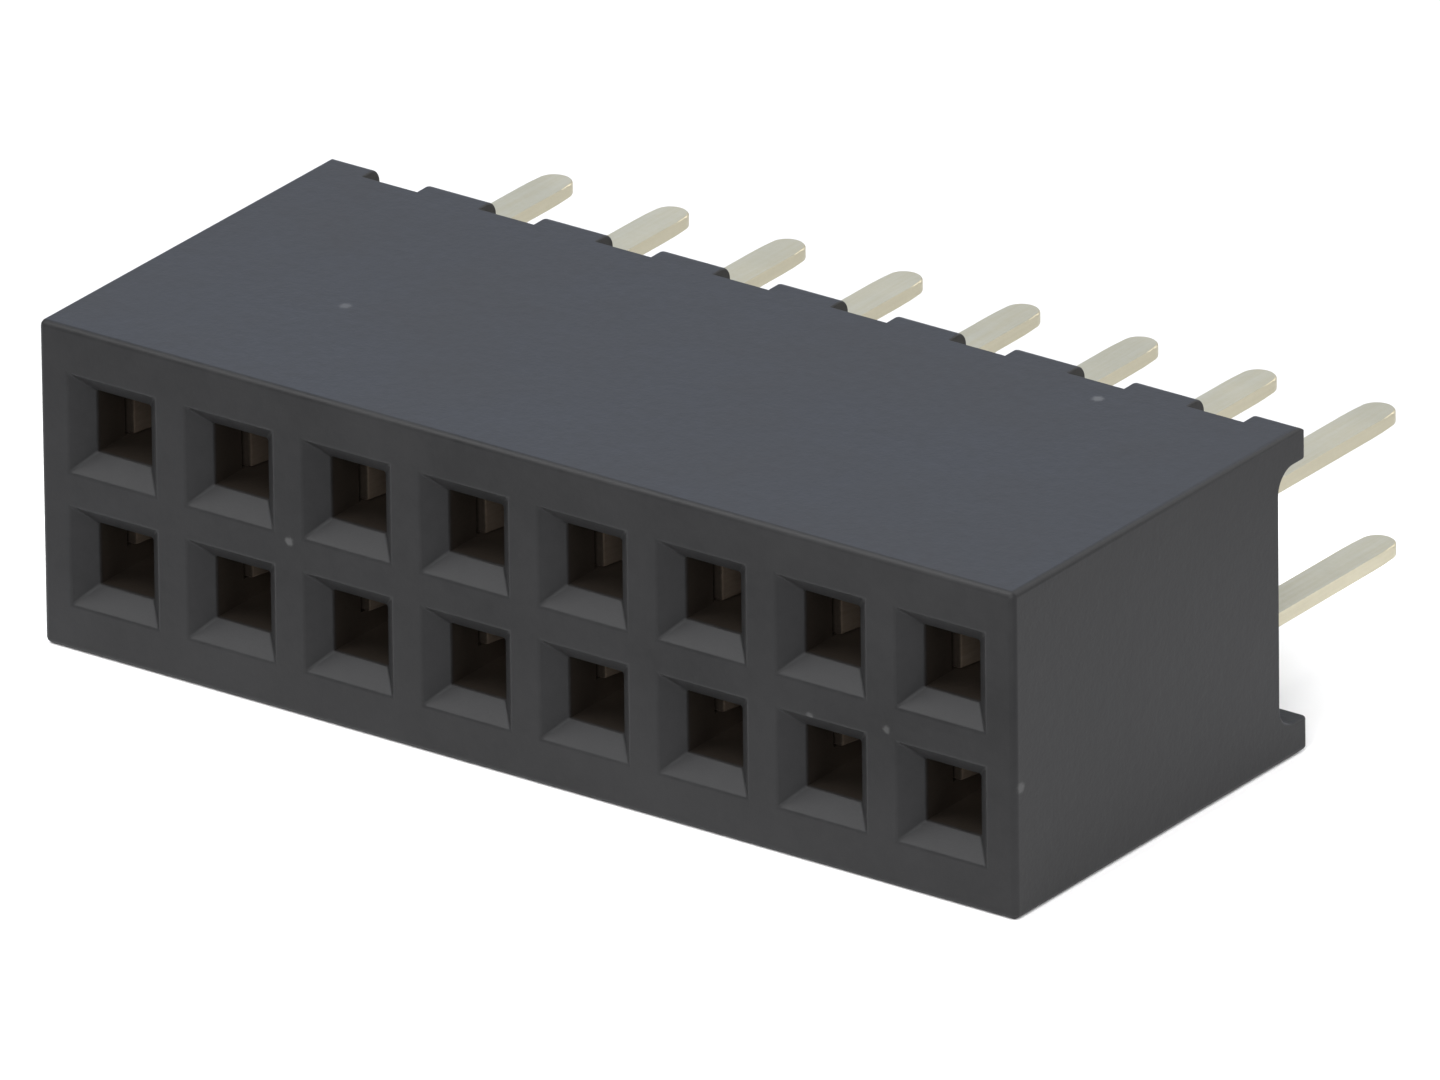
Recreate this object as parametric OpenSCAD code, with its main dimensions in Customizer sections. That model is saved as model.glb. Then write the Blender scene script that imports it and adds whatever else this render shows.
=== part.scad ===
// Two-row socket strip: a moulded housing with sixteen square pin wells and
// sixteen stamped contacts with two folded side beams and a flat solder tail.
// It lies on one long side, as it does loose on a table: X runs along the rows,
// the mating face looks to -Y, the solder tails point to +Y, and Z = 0 is the
// side it lies on. The origin is the middle of the whole footprint.

/* [Housing] */
// Contact spacing along a row and between the rows
pitch = 1.27; // [1.20:0.01:1.40]
// Size of the housing across the two rows
body_width = 3.10; // [3.00:0.05:3.40]
// Depth from the mating face to the ends of the stand-off feet
body_depth = 4.40; // [4.20:0.05:5.00]
// Length of the housing beyond the contact spacing, both ends together
end_margin = 0.30; // [0.25:0.05:0.60]
// Radius of the moulded outer edges
edge_radius = 0.06; // [0.04:0.01:0.12]

/* [Pin wells] */
// Side of the square well that takes a pin
well = 0.58; // [0.54:0.02:0.64]
// Side of the square lead-in where it opens in the mating face
mouth = 0.96; // [0.84:0.02:1.00]
// Depth of the sloping lead-in
lead_in = 0.19; // [0.12:0.01:0.28]
// Depth of the well from the mating face
well_depth = 3.20; // [3.00:0.05:3.30]

/* [Feet] */
// Height of the stand-off feet over the recessed rear floor
foot_height = 0.42; // [0.30:0.02:0.50]
// Thickness of the two rear ribs that carry the feet
rib = 0.32; // [0.26:0.02:0.36]
// Width of the notch that parts the feet behind each contact
notch_width = 0.59; // [0.40:0.01:0.70]
// Depth of that notch
notch_depth = 0.26; // [0.10:0.02:0.28]
// Inner radius at the root of each rib
root_radius = 0.22; // [0.10:0.02:0.28]
// Radius of the outer rear edges of the feet
foot_radius = 0.14; // [0.04:0.02:0.18]

/* [Contacts] */
// Thickness of the contact sheet
sheet = 0.13; // [0.11:0.01:0.14]
// Width of the solder tail
tail_width = 0.34; // [0.30:0.02:0.42]
// Length of the solder tail past the feet
tail_length = 2.35; // [1.80:0.05:3.00]
// Gap between the two side beams where they grip the pin
grip_gap = 0.28; // [0.22:0.02:0.34]
// Depth of the beam tips under the mating face
beam_depth = 0.62; // [0.56:0.02:0.80]
// Height of the side beams over the outer face of the plate they fold from
beam_height = 0.34; // [0.26:0.02:0.34]

/* [Hidden] */
$fn = 48;
columns = 8;
eps = 0.05;
body_length = columns * pitch + end_margin;
face_y = -(body_depth + tail_length) / 2;      // mating face
feet_y = face_y + body_depth;                  // ends of the feet, on the board
floor_y = feet_y - foot_height;                // recessed rear floor
tip_y = feet_y + tail_length;                  // ends of the solder tails
mid_z = body_width / 2;
play = 0.01;                                   // room around a contact in its slots
slot_w = 0.90;                                 // slot of the contact plate, along X
beam_x = 0.25;                                 // inner face of a beam at its root
groove_in = 0.005;                             // room of a folded side towards the middle of its well
groove_w = sheet + groove_in + 0.04;           // channel of a side beam, along X
groove_y = face_y + beam_depth - 0.04;         // front end of that channel
plate_y = face_y + 2.95;                       // front edge of the contact plate
shoulder_y = floor_y - 0.08;                   // where the plate narrows to the tail
root_y = shoulder_y;                           // rear end of the folded sides
body_colour = [0.16, 0.16, 0.17];
metal_colour = [0.80, 0.78, 0.68];

// Centre of a contact: columns count along +X, row 0 is the lower one.
function col_x(i) = (i - (columns - 1) / 2) * pitch;
function row_z(j) = mid_z + (j - 0.5) * pitch;

// Places children at a contact, upside down in the upper row, so that what
// points to +Z here points to the middle of the strip in both rows.
module at_contact(i, j) {
    translate([col_x(i), 0, row_z(j)]) mirror([0, 0, j]) children();
}

// Rectangle from (x0, y0) to (x1, y1) with round corners.
module round_rect(x0, y0, x1, y1, r) {
    translate([x0 + r, y0]) square([x1 - x0 - 2 * r, y1 - y0]);
    translate([x0, y0 + r]) square([x1 - x0, y1 - y0 - 2 * r]);
    for (x = [x0 + r, x1 - r], y = [y0 + r, y1 - r]) translate([x, y]) circle(r = r);
}

// Extrudes a Y-Z outline along X over the given span.
module along_x(x0, x1) {
    translate([x0, 0, 0]) rotate([90, 0, 90]) linear_extrude(height = x1 - x0) children();
}

// Block with every outer edge rounded, the rear ones more.
module blank() {
    h = body_length / 2;
    intersection() {
        along_x(-h, h) intersection() {
            round_rect(face_y, 0, feet_y + 1, body_width, edge_radius);
            round_rect(face_y - 1, 0, feet_y, body_width, foot_radius);
        }
        translate([0, feet_y, 0]) rotate([90, 0, 0]) linear_extrude(height = body_depth)
            round_rect(-h, 0, h, body_width, edge_radius);
        linear_extrude(height = body_width) round_rect(-h, face_y, h, feet_y, edge_radius);
    }
}

// Recess between the two rear ribs, open at both ends, with rounded rib roots.
module rear_recess() {
    along_x(-body_length / 2 - eps, body_length / 2 + eps)
        round_rect(floor_y, rib, feet_y + root_radius + eps, body_width - rib, root_radius);
}

// One pin well: square funnel, square well, channels of the side beams and slot of the plate.
module pin_well(i, j) {
    grow = (mouth - well) / lead_in / 2 * eps;
    at_contact(i, j) {
        intersection() {
            translate([0, 0, -mouth]) linear_extrude(height = 2 * mouth) polygon([
                [-mouth / 2 - grow, face_y - eps], [mouth / 2 + grow, face_y - eps],
                [well / 2, face_y + lead_in], [-well / 2, face_y + lead_in]]);
            along_x(-mouth, mouth) polygon([
                [face_y - eps, -mouth / 2 - grow], [face_y + lead_in, -well / 2],
                [face_y + lead_in, well / 2], [face_y - eps, mouth / 2 + grow]]);
        }
        translate([-well / 2, face_y + lead_in / 2, -well / 2])
            cube([well, well_depth - lead_in / 2, well]);
        for (side = [0, 1]) mirror([side, 0, 0])
            translate([beam_x - groove_in, groove_y, -sheet / 2 - play])
                cube([groove_w, floor_y + eps - groove_y, beam_height + 2 * play]);
        translate([-slot_w / 2, plate_y - 0.05, -sheet / 2 - play])
            cube([slot_w, floor_y + eps - plate_y + 0.05, sheet + 2 * play]);
    }
}

module housing() {
    color(body_colour) difference() {
        blank();
        rear_recess();
        for (i = [0 : columns - 1])
            translate([col_x(i) - notch_width / 2, feet_y - notch_depth, -eps])
                cube([notch_width, notch_depth + eps, body_width + 2 * eps]);
        for (i = [0 : columns - 1], j = [0, 1]) pin_well(i, j);
    }
}

// Flat outline of the plate of a contact: barbed sides, shoulders and a tail with a round end.
module plate_outline() {
    f = beam_x + sheet;
    b = slot_w / 2;
    t = tail_width / 2;
    polygon([
        [f, plate_y], [f, plate_y + 0.26], [b, plate_y + 0.42], [f, plate_y + 0.44],
        [f, plate_y + 0.58], [b, plate_y + 0.74], [f, plate_y + 0.76], [f, shoulder_y],
        [-f, shoulder_y], [-f, plate_y + 0.76], [-b, plate_y + 0.74], [-f, plate_y + 0.58],
        [-f, plate_y + 0.44], [-b, plate_y + 0.42], [-f, plate_y + 0.26], [-f, plate_y]]);
    translate([-t, shoulder_y - 0.2]) square([tail_width, tip_y - t - shoulder_y + 0.2]);
    translate([0, tip_y - t]) circle(r = t);
}

// Edge-on outline of one side beam: flared tip, grip, then a straight run back to the plate.
module beam_outline() {
    tip = face_y + beam_depth;
    g = grip_gap / 2;
    polygon([
        [g + 0.085, tip], [g + 0.01, tip + 0.36], [g, tip + 0.43], [g + 0.01, tip + 0.50],
        [beam_x, tip + 1.60], [beam_x, root_y],
        [beam_x + sheet, root_y], [beam_x + sheet, tip + 1.58],
        [g + 0.01 + sheet, tip + 0.52], [g + sheet, tip + 0.43], [g + 0.01 + sheet, tip + 0.34],
        [g + 0.085 + sheet, tip]]);
}

// Stamped and folded contact in column i of row j, its plate lying in the plane of the row.
module contact(i, j) {
    color(metal_colour) at_contact(i, j) translate([0, 0, -sheet / 2]) {
        linear_extrude(height = sheet) plate_outline();
        linear_extrude(height = beam_height) {
            beam_outline();
            mirror([1, 0]) beam_outline();
        }
    }
}

// Contacts 1 to 8 are the lower row, 9 to 16 the upper row, both counted along +X.
module contact_01() { contact(0, 0); }
module contact_02() { contact(1, 0); }
module contact_03() { contact(2, 0); }
module contact_04() { contact(3, 0); }
module contact_05() { contact(4, 0); }
module contact_06() { contact(5, 0); }
module contact_07() { contact(6, 0); }
module contact_08() { contact(7, 0); }
module contact_09() { contact(0, 1); }
module contact_10() { contact(1, 1); }
module contact_11() { contact(2, 1); }
module contact_12() { contact(3, 1); }
module contact_13() { contact(4, 1); }
module contact_14() { contact(5, 1); }
module contact_15() { contact(6, 1); }
module contact_16() { contact(7, 1); }

housing();
contact_01();
contact_02();
contact_03();
contact_04();
contact_05();
contact_06();
contact_07();
contact_08();
contact_09();
contact_10();
contact_11();
contact_12();
contact_13();
contact_14();
contact_15();
contact_16();
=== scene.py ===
import math

import bmesh
import bpy
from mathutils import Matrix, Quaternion, Vector


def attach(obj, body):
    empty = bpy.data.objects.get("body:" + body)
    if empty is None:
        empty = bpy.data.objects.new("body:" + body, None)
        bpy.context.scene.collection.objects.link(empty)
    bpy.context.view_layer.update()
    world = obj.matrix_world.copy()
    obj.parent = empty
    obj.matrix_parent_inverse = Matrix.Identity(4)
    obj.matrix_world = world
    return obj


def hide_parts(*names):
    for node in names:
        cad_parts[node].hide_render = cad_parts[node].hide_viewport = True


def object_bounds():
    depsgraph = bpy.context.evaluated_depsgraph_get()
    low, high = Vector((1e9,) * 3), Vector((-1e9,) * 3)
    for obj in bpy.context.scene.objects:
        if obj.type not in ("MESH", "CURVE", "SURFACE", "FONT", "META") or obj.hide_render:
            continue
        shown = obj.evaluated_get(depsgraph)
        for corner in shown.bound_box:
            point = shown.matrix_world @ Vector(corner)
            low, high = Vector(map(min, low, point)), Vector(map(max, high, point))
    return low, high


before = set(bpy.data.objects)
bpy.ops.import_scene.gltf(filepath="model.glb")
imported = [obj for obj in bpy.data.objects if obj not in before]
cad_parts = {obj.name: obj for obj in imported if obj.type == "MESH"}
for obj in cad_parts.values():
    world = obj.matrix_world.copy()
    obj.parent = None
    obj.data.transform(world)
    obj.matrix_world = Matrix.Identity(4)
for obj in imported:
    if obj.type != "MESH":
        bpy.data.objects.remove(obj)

cad_low, cad_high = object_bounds()
MM = 0.001


# ---------------------------------------------------------------- node helpers
class Tree:
    """Small helper that adds and links shader nodes."""

    def __init__(self, name):
        self.mat = bpy.data.materials.new(name)
        self.mat.use_nodes = True
        self.t = self.mat.node_tree
        self.t.nodes.clear()
        self.out = self.t.nodes.new("ShaderNodeOutputMaterial")
        self.bsdf = self.t.nodes.new("ShaderNodeBsdfPrincipled")
        self.t.links.new(self.bsdf.outputs[0], self.out.inputs[0])

    def add(self, kind, **props):
        n = self.t.nodes.new(kind)
        for k, v in props.items():
            setattr(n, k, v)
        return n

    def put(self, socket, value):
        if isinstance(value, bpy.types.NodeSocket):
            self.t.links.new(value, socket)
        else:
            socket.default_value = value

    def coords(self, scale=(1, 1, 1)):
        """Object position in millimetres, stretched by scale."""
        c = self.add("ShaderNodeTexCoord")
        m = self.add("ShaderNodeVectorMath", operation="MULTIPLY")
        self.put(m.inputs[0], c.outputs["Object"])
        m.inputs[1].default_value = [1000.0 * s for s in scale]
        return m.outputs[0]

    def noise(self, scale, detail=2.0, rough=0.5, vec=None, distortion=0.0, out="Fac"):
        n = self.add("ShaderNodeTexNoise")
        self.put(n.inputs["Vector"], vec if vec is not None else self.coords())
        n.inputs["Scale"].default_value = scale
        n.inputs["Detail"].default_value = detail
        n.inputs["Roughness"].default_value = rough
        n.inputs["Distortion"].default_value = distortion
        return n.outputs[out]

    def remap(self, value, a, b, c, d, smooth=False):
        n = self.add("ShaderNodeMapRange")
        n.interpolation_type = "SMOOTHSTEP" if smooth else "LINEAR"
        self.put(n.inputs["Value"], value)
        for name, v in zip(("From Min", "From Max", "To Min", "To Max"), (a, b, c, d)):
            n.inputs[name].default_value = v
        return n.outputs["Result"]

    def math(self, op, a, b=None):
        n = self.add("ShaderNodeMath", operation=op)
        self.put(n.inputs[0], a)
        if b is not None:
            self.put(n.inputs[1], b)
        return n.outputs[0]

    def mix(self, fac, a, b):
        n = self.add("ShaderNodeMix", data_type="RGBA")
        self.put(n.inputs[0], fac)
        self.put(n.inputs[6], a)
        self.put(n.inputs[7], b)
        return n.outputs[2]

    def bump(self, height, distance, strength=1.0, normal=None):
        n = self.add("ShaderNodeBump")
        n.inputs["Strength"].default_value = strength
        n.inputs["Distance"].default_value = distance
        self.put(n.inputs["Height"], height)
        if normal is not None:
            self.put(n.inputs["Normal"], normal)
        return n.outputs[0]


# ---------------------------------------------------------------- sizes used by the finish, in millimetres
PITCH = 1.27                       # contact spacing
MID_Z = (cad_low.z + cad_high.z) / 2 / MM
FACE_Y = cad_low.y / MM            # mating face
FLOOR_Y = FACE_Y + 3.98            # recessed rear floor
NOTCH_Y = FACE_Y + 4.14            # bottom of the notches between the feet
PLATE_Y = FACE_Y + 2.95            # front edge of the contact plates
END_X = cad_high.x / MM            # ends of the housing
TOP_Z = cad_high.z / MM            # upper long side
RIB = 0.32                         # thickness of the rear ribs
ROOT = 0.22                        # inner radius at the root of a rib
EDGE = 0.06                        # radius of the moulded outer edges


# ---------------------------------------------------------------- materials
def plastic():
    """Black glass-filled moulding: fine matte skin, faint mottling, a few specks of dust, and a painted brown glow of
    light inside the wells.
    """
    k = Tree("black_moulding")
    broad = k.noise(0.8, 3.0, 0.55)
    grain = k.noise(9.0, 4.0, 0.6)
    fine = k.noise(28.0, 2.0, 0.5)
    tone = k.math("ADD", k.math("MULTIPLY", broad, 0.65), k.math("MULTIPLY", grain, 0.35))
    colour = k.mix(k.remap(tone, 0.35, 0.65, 0.0, 1.0), (0.0105, 0.0105, 0.0110, 1), (0.0175, 0.0175, 0.0182, 1))
    # painted light: inside the wells the black is made paler and browner, and much paler deeper in, a painted dim
    # brown glow where the wells would otherwise fall dark
    c = k.add("ShaderNodeSeparateXYZ")
    k.put(c.inputs[0], k.coords())
    across = k.math("ABSOLUTE", k.math("SUBTRACT", k.math("FRACT", k.math("DIVIDE", c.outputs[0], PITCH)), 0.5))
    up = k.math("SUBTRACT", k.math("ABSOLUTE", k.math("SUBTRACT", c.outputs[2], MID_Z)), PITCH / 2)
    well = k.math("MULTIPLY", k.math("LESS_THAN", across, 0.46 / PITCH), k.math("LESS_THAN", k.math("ABSOLUTE", up), 0.31))
    well = k.math("MULTIPLY", well, k.remap(c.outputs[1], FACE_Y + 0.17, FACE_Y + 0.24, 0.0, 1.0, True))
    well = k.math("MULTIPLY", well, k.math("LESS_THAN", c.outputs[1], FLOOR_Y - 0.01))
    # the painted glow grows brighter with depth behind the mating face
    glow_depth = k.remap(c.outputs[1], FACE_Y + 0.35, FACE_Y + 1.3, 0.0, 1.0, True)
    inside = k.mix(glow_depth, k.mix(grain, (0.0165, 0.0126, 0.0096, 1), (0.0208, 0.0161, 0.0122, 1)),
                   k.mix(grain, (0.064, 0.048, 0.036, 1), (0.080, 0.061, 0.046, 1)))
    colour = k.mix(well, colour, inside)
    # six pale specks of dust: place (X, depth behind the mating face, Z), radius and strength
    ragged = k.remap(fine, 0.3, 0.7, -0.009, 0.009)
    for place, radius, strength in (((-3.18, 1.75, 3.10), 0.065, 0.38), ((3.42, 3.82, 3.10), 0.060, 0.55),
                                    ((5.23, 0.09, 1.24), 0.058, 0.50), ((-2.53, 0.00, 1.65), 0.048, 0.50),
                                    ((3.05, 0.00, 1.40), 0.042, 0.42), ((3.87, 0.00, 1.48), 0.040, 0.42)):
        d = k.add("ShaderNodeVectorMath", operation="DISTANCE")
        k.put(d.inputs[0], k.coords())
        d.inputs[1].default_value = (place[0], FACE_Y + place[1], place[2])
        speck = k.remap(k.math("ADD", d.outputs["Value"], ragged), radius * 0.4, radius * 1.2, strength, 0.0, True)
        colour = k.mix(speck, colour, (0.10, 0.10, 0.10, 1))
    k.put(k.bsdf.inputs["Base Color"], colour)
    rough = k.math("ADD", k.remap(broad, 0.3, 0.7, 0.46, 0.54), k.remap(grain, 0.3, 0.7, -0.03, 0.03))
    k.put(k.bsdf.inputs["Roughness"], rough)
    k.bsdf.inputs["IOR"].default_value = 1.45
    k.bsdf.inputs["Specular IOR Level"].default_value = 0.30
    k.bsdf.inputs["Specular Tint"].default_value = (0.98, 0.985, 1.0, 1)
    n = k.bump(k.noise(1.6, 2.0), 0.012 * MM, 0.35)
    n = k.bump(grain, 0.006 * MM, 0.4, n)
    n = k.bump(fine, 0.003 * MM, 0.38, n)
    k.put(k.bsdf.inputs["Normal"], n)
    return k.mat


def plating():
    """Pale satin plating on rolled strip, warmer on the blanked edges, bronze where the beams grip, with painted shade
    on the beam faces turned toward the mouth.
    """
    k = Tree("pale_plating")
    broad = k.noise(1.1, 2.0, 0.5)
    roll = k.noise(1.0, 3.0, 0.6, k.coords((26.0, 0.9, 26.0)))
    grain = k.noise(16.0, 3.0, 0.55)
    flat = k.mix(k.remap(broad, 0.35, 0.65, 0.0, 1.0), (0.430, 0.390, 0.276, 1), (0.475, 0.428, 0.302, 1))
    g = k.add("ShaderNodeNewGeometry")
    s = k.add("ShaderNodeSeparateXYZ")
    k.put(s.inputs[0], g.outputs["Normal"])
    edge = k.remap(k.math("ABSOLUTE", s.outputs[2]), 0.35, 0.85, 1.0, 0.0, True)
    colour = k.mix(k.math("MULTIPLY", edge, 0.8), flat, (0.495, 0.464, 0.357, 1))
    c = k.add("ShaderNodeSeparateXYZ")
    k.put(c.inputs[0], k.coords())
    grip = k.remap(c.outputs[1], PLATE_Y - 0.4, PLATE_Y + 0.2, 1.0, 0.0, True)
    dull = k.mix(k.remap(broad, 0.35, 0.65, 0.0, 1.0), (0.166, 0.131, 0.102, 1), (0.205, 0.164, 0.127, 1))
    # painted shade: in the grip zone, faces turned along the contact, such as the beam tips facing the mouth, are made
    # near-black so they catch no light
    painted_tip_shade = k.remap(k.math("ABSOLUTE", s.outputs[1]), 0.55, 0.90, 0.0, 1.0, True)
    colour = k.mix(grip, colour, k.mix(painted_tip_shade, dull, (0.050, 0.040, 0.032, 1)))
    k.put(k.bsdf.inputs["Base Color"], colour)
    k.bsdf.inputs["Metallic"].default_value = 1.0
    rough = k.math("ADD", k.remap(roll, 0.3, 0.7, 0.36, 0.50), k.remap(grain, 0.3, 0.7, -0.03, 0.03))
    k.put(k.bsdf.inputs["Roughness"], k.math("ADD", rough, k.math("MULTIPLY", grip, 0.42)))
    n = k.bump(roll, 0.002 * MM, 0.4)
    n = k.bump(grain, 0.003 * MM, 0.4, n)
    k.put(k.bsdf.inputs["Normal"], n)
    return k.mat


# ---------------------------------------------------------------- pieces
def corner_normals(mesh, flat):
    """Normals that keep every flat face flat and run smoothly over the rounded edges between them."""
    bm = bmesh.new()
    bm.from_mesh(mesh)
    bm.faces.ensure_lookup_table()
    bm.normal_update()
    out = [None] * len(mesh.loops)
    for v in bm.verts:
        left = set(v.link_faces)
        while left:
            group, todo = [], [left.pop()]
            while todo:
                f = todo.pop()
                group.append(f)
                for e in f.edges:
                    if v in e.verts and e.smooth:
                        for other in e.link_faces:
                            if other in left:
                                left.remove(other)
                                todo.append(other)
            n = Vector()
            for f in group:
                if flat[f.index]:
                    n += f.normal * f.calc_area()
            if n.length == 0:
                for f in group:
                    n += f.normal * next(l for l in f.loops if l.vert == v).calc_angle()
            n.normalize()
            for f in group:
                loop = next(l for l in f.loops if l.vert == v)
                out[loop.index] = f.normal.copy() if flat[f.index] else n
    bm.free()
    mesh.normals_split_custom_set(out)


def ball_corners(bm):
    """Turns the four front corners of the block, where three rounded edges run together, into parts of a ball."""
    def inside(p, room=0.0):
        return (abs(p.x) > END_X - EDGE + room and p.y < FACE_Y + EDGE - room
                and not EDGE - room <= p.z <= TOP_Z - EDGE + room)
    for axis, place in ((0, END_X - EDGE), (0, EDGE - END_X), (1, FACE_Y + EDGE), (2, EDGE), (2, TOP_Z - EDGE)):
        faces = {f for v in bm.verts if inside(v.co / MM, 0.002) for f in v.link_faces}
        edges = {e for f in faces for e in f.edges}
        verts = {v for f in faces for v in f.verts}
        point, normal = Vector((0, 0, 0)), Vector((0, 0, 0))
        point[axis], normal[axis] = place * MM, 1.0
        bmesh.ops.bisect_plane(bm, geom=list(verts) + list(edges) + list(faces), dist=0.0004 * MM,
                               plane_co=point, plane_no=normal)
    for v in bm.verts:
        p = v.co / MM
        if inside(p):
            centre = Vector((math.copysign(END_X - EDGE, p.x), FACE_Y + EDGE, EDGE if p.z < EDGE else TOP_Z - EDGE))
            if (p - centre).length > 0.001:
                v.co = (centre + (p - centre).normalized() * EDGE) * MM
    bmesh.ops.remove_doubles(bm, verts=bm.verts, dist=0.0008 * MM)
    bm.normal_update()


def soften(node, name, material, passes, prepare=None, limit=25.0, strip=0.03):
    """A clean copy of a CAD node with its sharp edges broken by small radii; a pass is a width and a test of edges."""
    mesh = bpy.data.meshes.new(name)
    bm = bmesh.new()
    bm.from_mesh(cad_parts[node].data)
    bmesh.ops.remove_doubles(bm, verts=bm.verts, dist=0.0004 * MM)
    bmesh.ops.dissolve_limit(bm, angle_limit=math.radians(0.3), verts=bm.verts, edges=bm.edges)
    bm.normal_update()
    if prepare:
        prepare(bm)
    tag = bm.faces.layers.int.new("round")
    for width, wanted in passes:
        sharp = [e for e in bm.edges if len(e.link_faces) == 2 and e.calc_face_angle() > math.radians(limit)
                 and wanted(e.verts[0].co / MM, e.verts[1].co / MM)]
        made = bmesh.ops.bevel(bm, geom=sharp, offset=width * MM, offset_type="OFFSET", segments=3,
                               profile=0.5, affect="EDGES", clamp_overlap=False, loop_slide=False)
        for f in made["faces"]:
            f[tag] = 1
        bm.normal_update()
    for f in bm.faces:
        if 2 * f.calc_area() <= strip * MM * f.calc_perimeter():
            f[tag] = 1
    bmesh.ops.triangulate(bm, faces=bm.faces)
    bm.normal_update()
    for f in bm.faces:
        f.smooth = True
    for e in bm.edges:
        e.smooth = len(e.link_faces) == 2 and e.calc_face_angle() < math.radians(40)
    flat = [not f[tag] for f in bm.faces]
    bm.faces.layers.int.remove(tag)
    bm.to_mesh(mesh)
    bm.free()
    corner_normals(mesh, flat)
    piece = bpy.data.objects.new(name, mesh)
    bpy.context.collection.objects.link(piece)
    mesh.materials.append(material)
    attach(piece, "root")
    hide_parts(node)
    return piece


def at_corner(p):
    return abs(p.x) > END_X - 0.10 and not 0.10 < p.z < TOP_Z - 0.10


def front_edge(a, b):
    """Edges of the lead-ins in the mating face."""
    return max(a.y, b.y) < FACE_Y + 0.21 and not at_corner(a) and not at_corner(b)


def rear_edge(a, b):
    """Edges of the feet and notches and of the recess at the ends, without the curved roots inside the notches."""
    if at_corner(a) or at_corner(b):
        return False
    if min(abs(a.x), abs(b.x)) > END_X - 0.001:
        return min(a.y, b.y) > FLOOR_Y - 0.005
    between = [RIB - 0.02 < p.z < TOP_Z - RIB + 0.02 for p in (a, b)]
    root = [m and p.y < FLOOR_Y + ROOT + 0.005 for m, p in zip(between, (a, b))]
    bottom = [m and abs(p.y - NOTCH_Y) < 0.004 for m, p in zip(between, (a, b))]
    return min(a.y, b.y) > FLOOR_Y + 0.005 and not all(root) and not any(bottom)


def contact_edge(a, b):
    """Edges of a contact that show: the beams inside the well and the solder tail."""
    return all(p.y < PLATE_Y - 0.05 or p.y > FLOOR_Y - 0.06 for p in (a, b))


black = plastic()
pale = plating()
soften("housing", "moulded_housing", black, ((0.020, front_edge), (0.020, rear_edge)), ball_corners)
for i in range(1, 17):
    soften("contact_%02d" % i, "stamped_contact_%02d" % i, pale, ((0.022, contact_edge),))

# ---------------------------------------------------------------- floor, light, camera
floor_mesh = bpy.data.meshes.new("floor")
s = 0.6
floor_mesh.from_pydata([(-s, -s, 0), (s, -s, 0), (s, s, 0), (-s, s, 0)], [], [(0, 1, 2, 3)])
floor = bpy.data.objects.new("floor", floor_mesh)
bpy.context.collection.objects.link(floor)
k = Tree("floor_with_painted_light_pool")
k.bsdf.inputs["Roughness"].default_value = 0.9
k.bsdf.inputs["Specular IOR Level"].default_value = 0.1
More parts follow.
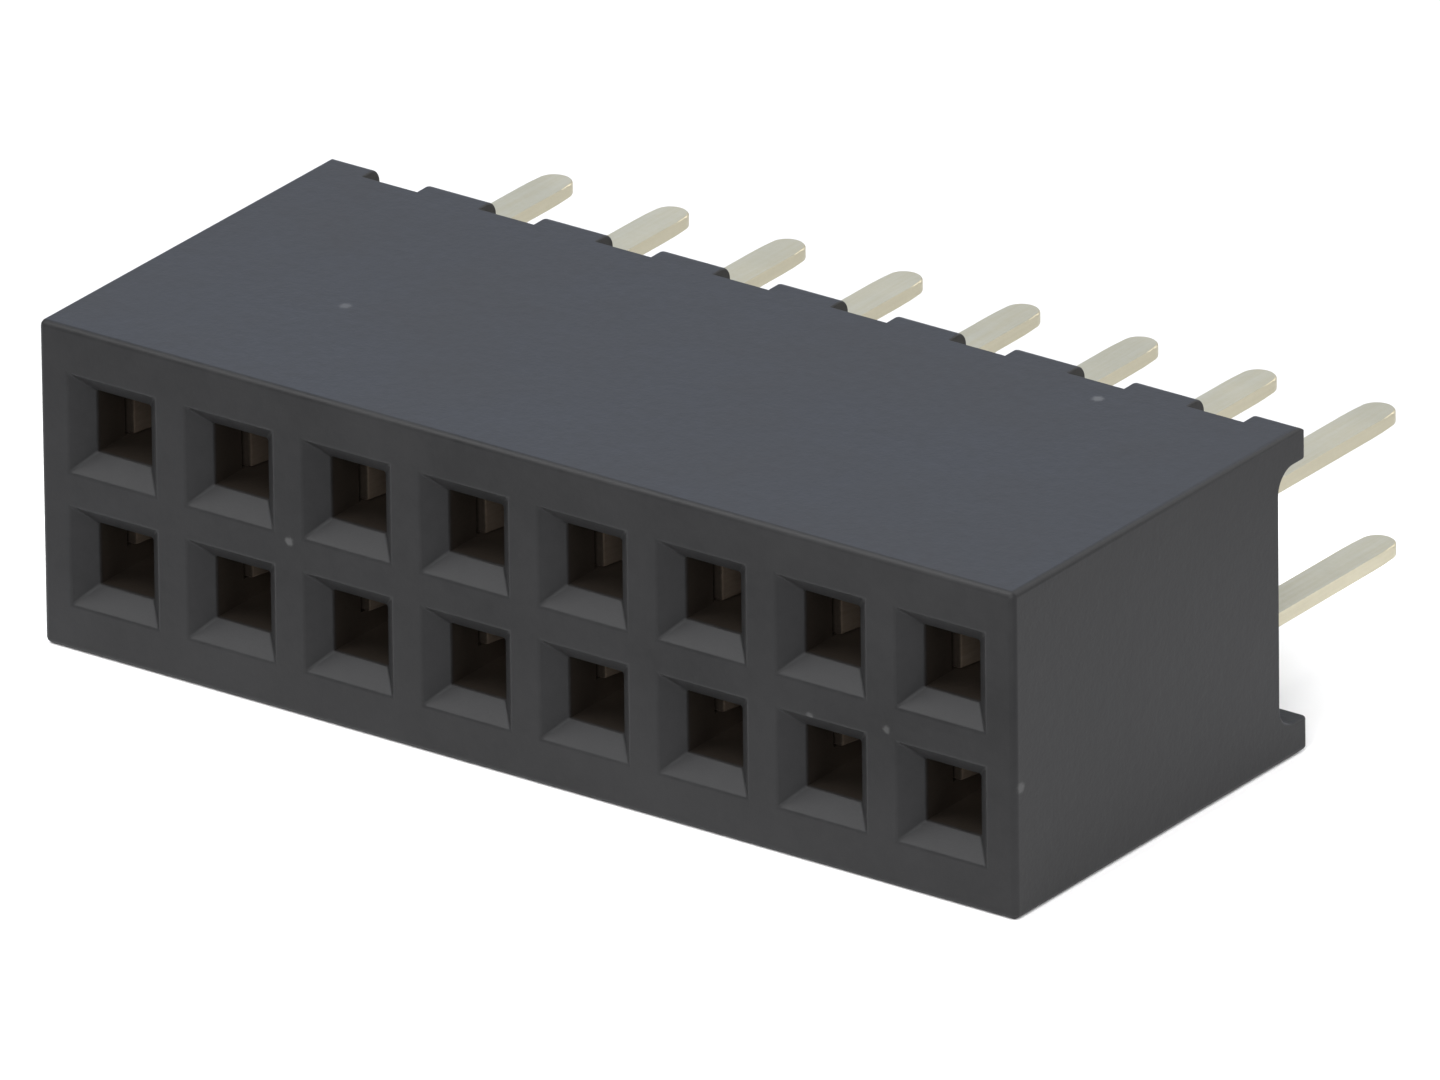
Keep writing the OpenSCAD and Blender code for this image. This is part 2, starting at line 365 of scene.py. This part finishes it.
# painted pool of light: the floor is palest close around the object and a little deeper grey from a few millimetres
# out, so the lower faces reflect a brighter floor near it
place = k.add("ShaderNodeVectorMath", operation="ABSOLUTE")
k.put(place.inputs[0], k.coords((1.0, 1.6, 1.0)))
past = k.add("ShaderNodeVectorMath", operation="SUBTRACT")
k.put(past.inputs[0], place.outputs[0])
past.inputs[1].default_value = (END_X, -1.6 * FACE_Y, 0.0)
beside = k.add("ShaderNodeVectorMath", operation="MAXIMUM")
k.put(beside.inputs[0], past.outputs[0])
far = k.add("ShaderNodeVectorMath", operation="LENGTH")
k.put(far.inputs[0], beside.outputs[0])
k.put(k.bsdf.inputs["Base Color"], k.mix(k.remap(far.outputs["Value"], 0.8, 4.5, 0.0, 1.0, True),
                                         k.mix(k.noise(0.05, 2.0), (0.94, 0.94, 0.94, 1), (0.96, 0.96, 0.96, 1)), (0.60, 0.60, 0.60, 1)))
floor_mesh.materials.append(k.mat)

scene = bpy.context.scene
scene.view_settings.view_transform = "Standard"
world = bpy.data.worlds.new("soft_studio")
scene.world = world
world.use_nodes = True
bg = world.node_tree.nodes["Background"]
bg.inputs["Color"].default_value = (1.0, 1.0, 1.0, 1)
bg.inputs["Strength"].default_value = 0.10


def softbox(name, direction, distance, size, radiance, colour=(1, 1, 1)):
    """A square light looking at the middle of the object; radiance is its brightness beside a white of 1."""
    data = bpy.data.lights.new(name, "AREA")
    data.shape = "SQUARE"
    data.size = size
    data.energy = radiance * math.pi * size * size
    data.color = colour
    lamp = bpy.data.objects.new(name, data)
    bpy.context.collection.objects.link(lamp)
    lamp.location = Vector(direction).normalized() * distance + Vector((0, 0, 0.0015))
    lamp.rotation_mode = "QUATERNION"
    lamp.rotation_quaternion = (-Vector(direction)).to_track_quat("-Z", "Y")
    return lamp


softbox("front_box", (-0.536, -0.406, 0.738), 0.13, 0.10, 4.12)
softbox("side_box", (0.35, -0.80, 0.45), 0.13, 0.10, 3.55)
softbox("low_box", (0.90, -0.25, 0.30), 0.13, 0.10, 0.82, (1.01, 0.97, 1.04))
softbox("top_box", (0.0, -0.25, 1.0), 0.13, 0.10, 4.22)
softbox("rear_box", (0.42, 0.70, 0.55), 0.13, 0.12, 2.93)
softbox("back_box", (-0.536, 0.739, 0.50), 0.16, 0.14, 1.18, (0.86, 0.97, 1.20))

cam_data = bpy.data.cameras.new("photo_camera")
cam = bpy.data.objects.new("photo_camera", cam_data)
bpy.context.collection.objects.link(cam)
cam_data.sensor_width = 36.0
cam_data.sensor_fit = "HORIZONTAL"
cam_data.lens = 1000.0
cam_data.clip_start, cam_data.clip_end = 0.01, 10.0
cam.location = (0.18804736, -0.25900038, 0.14348777)
cam.rotation_mode = "QUATERNION"
cam.rotation_quaternion = Quaternion((0.79904771, 0.51699576, 0.17158167, 0.25455426))
scene.camera = cam

bpy.context.view_layer.update()
